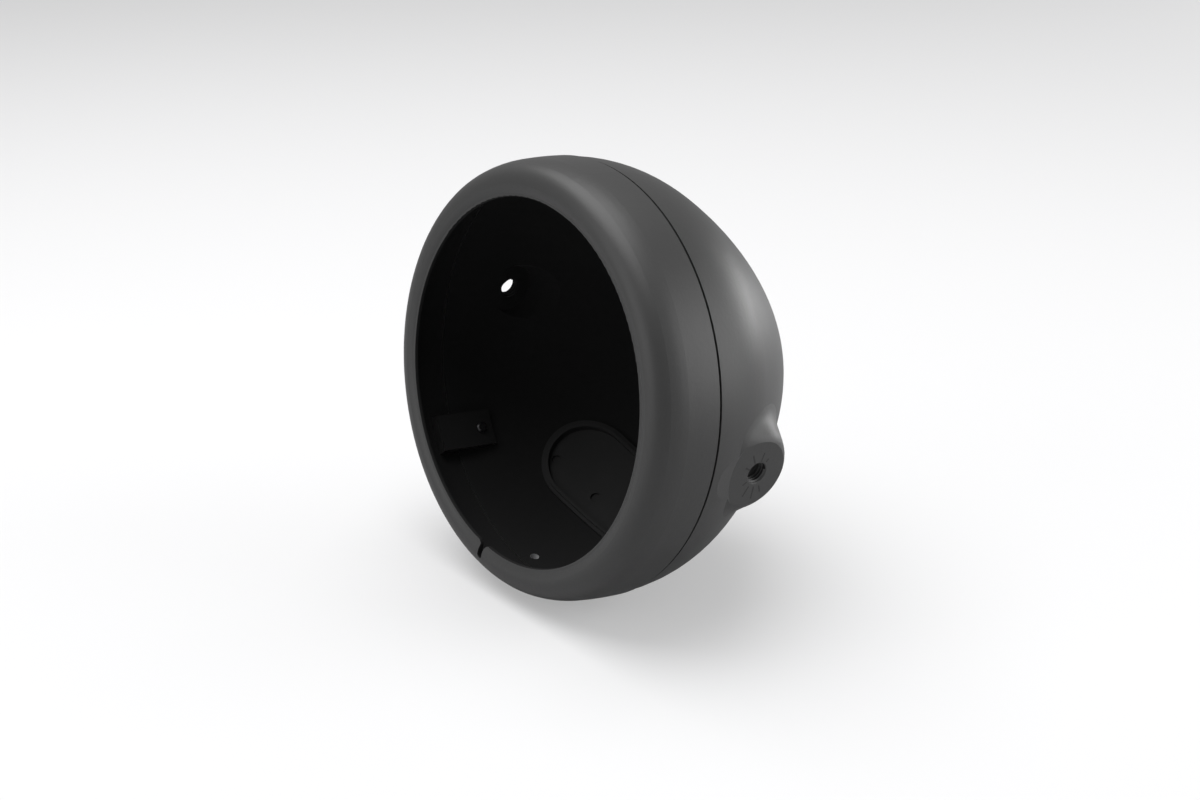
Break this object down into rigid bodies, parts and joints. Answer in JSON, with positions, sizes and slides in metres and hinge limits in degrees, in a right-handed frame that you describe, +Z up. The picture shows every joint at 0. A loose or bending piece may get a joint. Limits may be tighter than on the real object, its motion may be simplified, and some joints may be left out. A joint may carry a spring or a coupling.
{
  "type": "headlight housing",
  "caption": "Deep round bowl with a rolled trim ring round its open lamp mouth, tapped side bosses for fork brackets and an oval cable grommet low in the back wall.",
  "frame": {"origin": "where the common axis of the two side threads crosses the lamp's centre line", "axes": "-Y the way the lamp looks, +X along the side threads to the right as seen from the front, +Z up"},
  "size_m": [0.2028, 0.1345, 0.2028],
  "materials": {
    "coat": "matte powder coat",
    "screw": "black oxide",
    "rubber": "matte moulded"
  },
  "bodies": {
    "root": {"bowl": "coat", "trim_ring": "coat", "ring_screw_left": "screw", "ring_screw_right": "screw", "cable_grommet": "rubber"}
  },
  "joints": []
}
